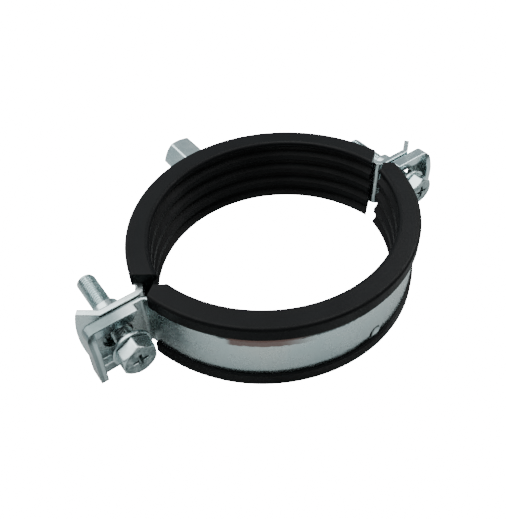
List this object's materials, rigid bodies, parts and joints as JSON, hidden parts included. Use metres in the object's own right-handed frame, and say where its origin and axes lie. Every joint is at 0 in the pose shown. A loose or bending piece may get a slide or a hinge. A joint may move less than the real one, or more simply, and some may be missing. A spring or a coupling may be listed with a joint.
{
  "type": "rubber lined pipe clamp",
  "caption": "Steel pipe clamp of half shells with ribbed rubber linings, drawn together by long screws at its ears, with a hexagonal threaded boss for hanging it.",
  "frame": {"origin": "on the pipe's axis, at the clamp's middle, in the plane of the linings' lower faces", "axes": "+Z along the pipe, up as the clamp lies; +Y from the screw heads towards the threaded boss; +X along the split between the half shells"},
  "size_m": [0.182, 0.1428, 0.035],
  "materials": {
    "zinc": "bright zinc plated, semi-gloss",
    "rubber": "black rubber, dull sheen"
  },
  "bodies": {
    "rear_half": {"rear_band": "zinc", "rear_lining": "rubber", "boss": "zinc"},
    "front_half": {"front_band": "zinc", "front_lining": "rubber"},
    "left_washer": {"left_washer": "zinc"},
    "right_washer": {"right_washer": "zinc"},
    "left_screw": {"left_screw": "zinc"},
    "right_screw": {"right_screw": "zinc"}
  },
  "joints": [
    {"name": "front_slide", "type": "slide", "parent": "rear_half", "child": "front_half", "axis": [0, -1, 0], "range_m": [0, 0.0055]},
    {"name": "left_washer_slide", "type": "slide", "parent": "rear_half", "child": "left_washer", "axis": [0, -1, 0], "range_m": [0, 0.02]},
    {"name": "right_washer_slide", "type": "slide", "parent": "rear_half", "child": "right_washer", "axis": [0, -1, 0], "range_m": [0, 0.02]},
    {"name": "left_screw_turn", "type": "hinge", "parent": "left_washer", "child": "left_screw", "pos_m": [-0.077, -0.012, 0.0175], "axis": [0, -1, 0], "range_deg": [0, 5760]},
    {"name": "right_screw_turn", "type": "hinge", "parent": "right_washer", "child": "right_screw", "pos_m": [0.077, -0.012, 0.0175], "axis": [0, -1, 0], "range_deg": [0, 5760]}
  ],
  "couplings": [
    {"joint": "left_screw_turn", "follows": "left_washer_slide", "rad_per_m": 5026.5},
    {"joint": "right_screw_turn", "follows": "right_washer_slide", "rad_per_m": 5026.5}
  ]
}
